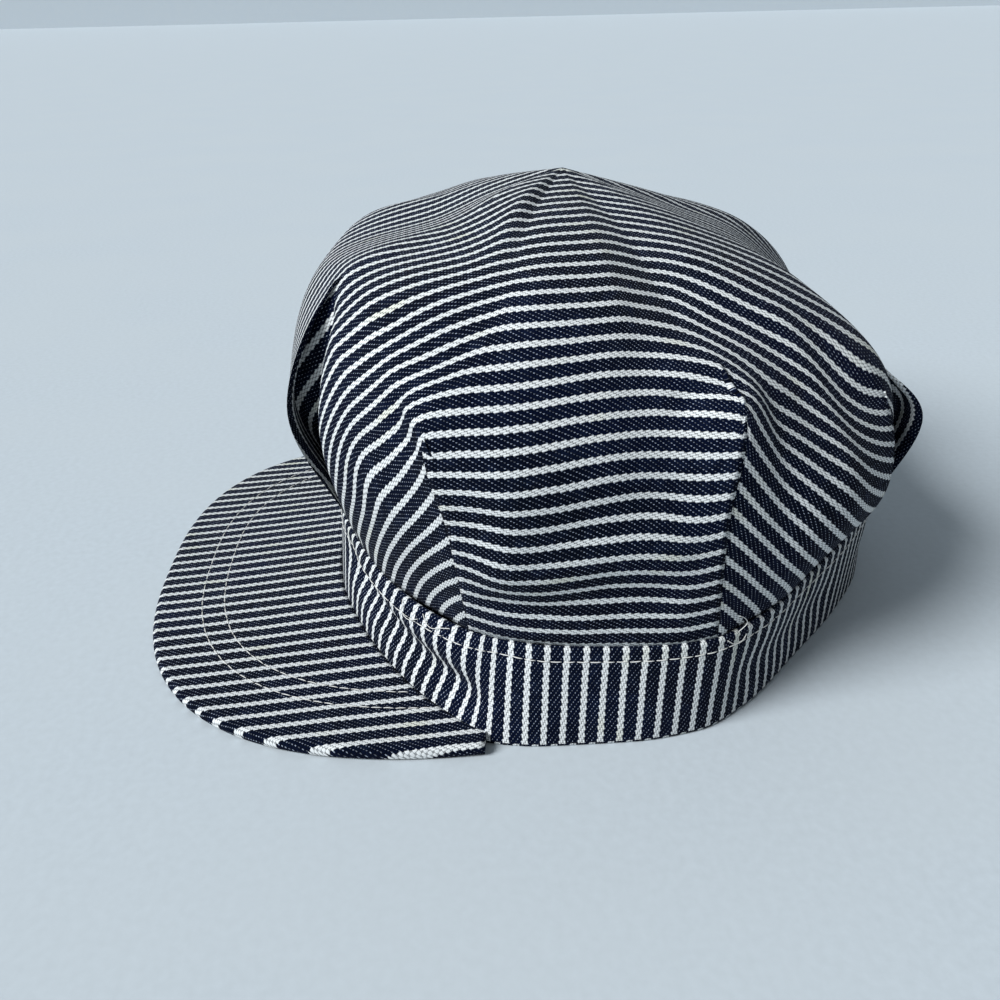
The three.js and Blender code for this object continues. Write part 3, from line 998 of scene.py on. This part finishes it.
# How fine each noise over the cloth is, and how much detail it has.
GRAINS = {
    "slow wander": (90, 2),
    "fine wander": (700, 1),
    "dye": (22, 2),
    "fading": (260, 3),
    "creamy patches": (60, 1),
    "yarn": (1500, 2),
}

# How the stripes lie on each piece: turned a little along the cloth, scaled across it, and shifted.
CLOTH_CUTS = {
    "crown": {"turn": 0.0, "scale": 1.0, "shift": -0.67},
    "band": {"turn": -0.045, "scale": 1.0, "shift": 1.07},
    "peak": {"turn": 0.05, "scale": 0.944, "shift": -1.82},
}


def twill(node_name):
    """Hickory-striped twill, woven thread by thread from the piece's cloth coordinates."""
    cut = CLOTH_CUTS[node_name]
    finish = Finish(node_name + "_twill")
    maths, step, blend = finish.maths, finish.step, finish.blend
    times, times_add, minus = (partial(maths, name) for name in ("MULTIPLY", "MULTIPLY_ADD", "SUBTRACT"))
    cloth = finish.add("UVMap", "UV", uv_map="cloth")
    grain = {name: finish.noise(cloth, scale, detail) for name, (scale, detail) in GRAINS.items()}

    across = times(finish.add("SeparateXYZ", "X", [(0, cloth)]), 1 / MM)
    along = times(finish.add("SeparateXYZ", "Y", [(0, cloth)]), 1 / MM)
    across = times(across, cut["scale"])
    across = times_add(along, cut["turn"], across)
    across = maths("ADD", across, cut["shift"])

    # Threads are never quite straight or even.
    slow = minus(grain["slow wander"], 0.5)
    fine = minus(grain["fine wander"], 0.5)
    wander = times_add(fine, 0.12, times_add(slow, 0.5, across))
    picks = times_add(slow, 0.6, times(along, 1 / PICK))

    # How far across the threads, counted in threads, with each pass over leaning.
    stripes = times(wander, 1 / STRIPE_PITCH)
    part = maths("FRACT", stripes)
    pale_part = times(maths("MINIMUM", part, WHITE_SHARE), WHITE_ENDS / WHITE_SHARE)
    over_edge = maths("MAXIMUM", minus(part, WHITE_SHARE), 0.0)
    dark_part = times(over_edge, DARK_ENDS / (1 - WHITE_SHARE))
    ends = times_add(maths("FLOOR", stripes), STRIPE_ENDS, maths("ADD", pale_part, dark_part))
    saw = maths("FRACT", times(minus(picks, ends), 1 / 3))
    ends = times_add(minus(saw, 0.5), LEAN, ends)
    index = maths("FLOOR", ends)
    beside = minus(maths("FRACT", ends), 0.5)
    place = maths("FRACT", times(maths("ADD", index, 0.5), 1 / STRIPE_ENDS))
    white = maths("LESS_THAN", place, WHITE_ENDS / STRIPE_ENDS)

    # Where it is in its turn of two over and one under.
    passes = times(minus(picks, index), 1 / 3)
    cycle = maths("FRACT", passes)
    over = times(step(cycle, 0.25, 0.38), step(cycle, 0.93, 1.0, 1.0, 0.0))
    beside_square = times(beside, beside)
    round_across = maths("SQRT", maths("MAXIMUM", times_add(beside_square, -3.7, 1.0), 0.02))
    bow = maths("SINE", times(minus(cycle, 0.3), math.pi / 0.7))
    bow = times_add(maths("MAXIMUM", bow, 0.0), 0.4, 0.6)
    thread_height = times(times(round_across, bow), over)

    # The crossing thread shows as a small round dot, here more and there less.
    dot_along = times(minus(cycle, 0.15), 3 * PICK)
    dot_across = times(beside, STRIPE_PITCH / STRIPE_ENDS)
    dot_square = times_add(dot_along, dot_along, times(dot_across, dot_across))
    dot = step(maths("SQRT", dot_square), 0.09, 0.27, 1.0, 0.0)
    height = maths("MAXIMUM", thread_height, times(dot, 0.4))
    cell = finish.add("CombineXYZ", 0, [("X", index), ("Y", maths("FLOOR", passes))])
    chance = finish.add("TexWhiteNoise", "Value", [("Vector", cell)], noise_dimensions="2D")
    shown = times(dot, step(chance, 0.0, 1.0, 0.25, 1.0))

    # Large, soft changes of the dye, and a few creamy places on the white.
    dye = blend(step(grain["dye"], 0.35, 0.65), INDIGO, INK)
    dye = blend(step(grain["fading"], 0.45, 0.8, 0.0, 0.5), dye, FADED)
    pale = blend(step(grain["creamy patches"], 0.6, 0.78, 0.0, 0.5), OFF_WHITE, CREAM)
    pale = blend(step(grain["yarn"], 0.35, 0.75, 0.0, 0.5), pale, GREY_YARN)
    colour = blend(white, dye, pale)
    # Painted shade: the colour is darkened, down to about a fifth, where a thread lies low in the gaps
    # between threads, and kept full on the raised passes over.
    between = step(height, 0.0, 0.8, 0.22, 1.0)
    painted_gap_shade = finish.add("CombineColor", 0, [(part, between) for part in ("Red", "Green", "Blue")])
    colour = blend(1.0, colour, painted_gap_shade, "MULTIPLY")
    colour = blend(times(shown, times_add(white, -0.7, 1.0)), colour, SPECK)

    finish.bump(height, 0.7, 0.00012)
    finish.set(Base_Color=colour, Roughness=step(grain["fading"], 0.2, 0.8, 0.95, 0.8))
    finish.set(Specular_IOR_Level=0.03, Sheen_Weight=0.01, Sheen_Roughness=0.5)
    return finish.material


def thread_material():
    """White sewing thread, a little uneven in colour, with the grain of its twisted yarn."""
    finish = Finish("white_thread")
    place = finish.add("TexCoord", "Object")
    tone = finish.noise(place, 700, 2)
    finish.bump(finish.noise(place, 5000, 1), 0.5, 0.00005)
    finish.set(Base_Color=finish.blend(tone, (0.53, 0.53, 0.5, 1), (0.71, 0.71, 0.7, 1)))
    finish.set(Roughness=finish.step(tone, 0.3, 0.7, 0.62, 0.8))
    return finish.material


def floor_material():
    """A pale matt floor with a fine grain and faint clouds."""
    finish = Finish("pale_floor")
    place = finish.add("TexCoord", "Object")
    colour = finish.blend(finish.noise(place, 420, 3), (0.44, 0.49, 0.53, 1), (0.53, 0.59, 0.64, 1))
    cloud = finish.step(finish.noise(place, 9, 2), 0.3, 0.7, 0.0, 0.5)
    colour = finish.blend(cloud, colour, (0.5, 0.55, 0.585, 1))
    finish.set(Base_Color=colour, Roughness=0.85, Specular_IOR_Level=0.1)
    return finish.material


# The camera, at the photograph's angle: round to the wearer's left, and down, and its roll, in degrees.
CAMERA_PLACE = (295.7, -27.7, 166.4)
CAMERA_ROUND = 86.02
CAMERA_DOWN = 26.23
CAMERA_ROLL = -1.34
CAMERA_LENS = 36

# The stage, in metres and degrees.
FLOOR_SIZE = 40
BACKDROP_SIZE = 80
BACKDROP_X = -20
SKY = (0.88, 0.95, 1.0, 1)
SKY_STRENGTH = 0.27
LIGHT_PLACE = (0.7, -0.8, 0.8)
LIGHT_AIM = (-0.38, 0.7, -0.63)
LIGHT_WIDTH = 28
LIGHT_STRENGTH = 4.4
LIGHT_COLOUR = (0.97, 0.99, 1.0)


def make_camera():
    azimuth, pitch, roll = (math.radians(a) for a in (CAMERA_ROUND, CAMERA_DOWN, CAMERA_ROLL))
    level = math.cos(pitch)
    forward = Vector((-math.sin(azimuth) * level, math.cos(azimuth) * level, -math.sin(pitch)))
    right = forward.cross(Vector((0, 0, 1))).normalized()
    up = right.cross(forward)
    across = right * math.cos(roll) + up * math.sin(roll)
    up = up * math.cos(roll) - right * math.sin(roll)
    bpy.ops.object.camera_add()
    camera = bpy.context.object
    camera.name = "camera"
    turn = Matrix((across, up, -forward)).transposed().to_4x4()
    camera.matrix_world = Matrix.Translation(Vector(CAMERA_PLACE) * MM) @ turn
    camera.data.sensor_width = 36
    camera.data.lens = CAMERA_LENS
    camera.data.clip_start = 0.01
    bpy.context.scene.camera = camera


def make_stage():
    """A plain pale floor and backdrop under one wide soft light from the front left, with a cool fill."""
    material = floor_material()
    bpy.ops.mesh.primitive_plane_add(size=FLOOR_SIZE, location=(0, 0, 0))
    floor = bpy.context.object
    floor.name = "floor"
    bpy.ops.mesh.primitive_plane_add(size=BACKDROP_SIZE, location=(0, 0, 0))
    backdrop = bpy.context.object
    backdrop.name = "backdrop"
    bpy.ops.object.mode_set(mode="EDIT")
    bpy.ops.transform.rotate(value=math.radians(90), orient_axis="Y", center_override=(0, 0, 0))
    bpy.ops.transform.translate(value=(BACKDROP_X, 0, 0))
    bpy.ops.object.mode_set(mode="OBJECT")
    for piece in (floor, backdrop):
        piece.data.materials.append(material)
        piece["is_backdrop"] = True
    world = bpy.context.scene.world or bpy.data.worlds.new("studio")
    bpy.context.scene.world = world
    world.use_nodes = True
    background = world.node_tree.nodes["Background"].inputs
    background["Color"].default_value = SKY
    background["Strength"].default_value = SKY_STRENGTH
    bpy.ops.object.light_add(type="SUN", location=LIGHT_PLACE)
    light = bpy.context.object
    light.name = "window_light"
    light.data.angle = math.radians(LIGHT_WIDTH)
    light.data.energy = LIGHT_STRENGTH
    light.data.color = LIGHT_COLOUR
    aim = Vector(LIGHT_AIM).to_track_quat("-Z", "Y").to_matrix().to_4x4()
    light.matrix_world = Matrix.Translation(light.location) @ aim
    bpy.context.scene.view_settings.view_transform = "Standard"


make_camera()
make_stage()
crown = make_crown()
band = make_band()
peak = make_peak()
for piece, node in ((crown, "crown"), (band, "band"), (peak, "peak")):
    piece.data.materials.append(twill(node))
    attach(piece, "root")
    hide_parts(node)

thread = thread_material()
stitch_rows = {}
for name, line, outward in [*peak_stitch_lines(), ("band_row", *band_stitch_line())]:
    stitch_rows[name] = stitches(name + "_stitches", line, outward)
loose_ends = [loose_end(name, table) for name, table in LOOSE_ENDS.items()]
for piece in [*stitch_rows.values(), *loose_ends]:
    piece.data.materials.append(thread)
    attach(piece, "root")

cut_outline = [rib["cut_foot"] for rib in crown_ribs() if rib["side"] > 0]
peak_edge = peak_free(peak_turns(200), PEAK_HALF_WIDTH, PEAK_REACH)
peak_outline = np.concatenate([peak_edge, peak_grid()[3][0][::-1]])

[[list(corner) for corner in box] for box in (cad_box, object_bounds())]
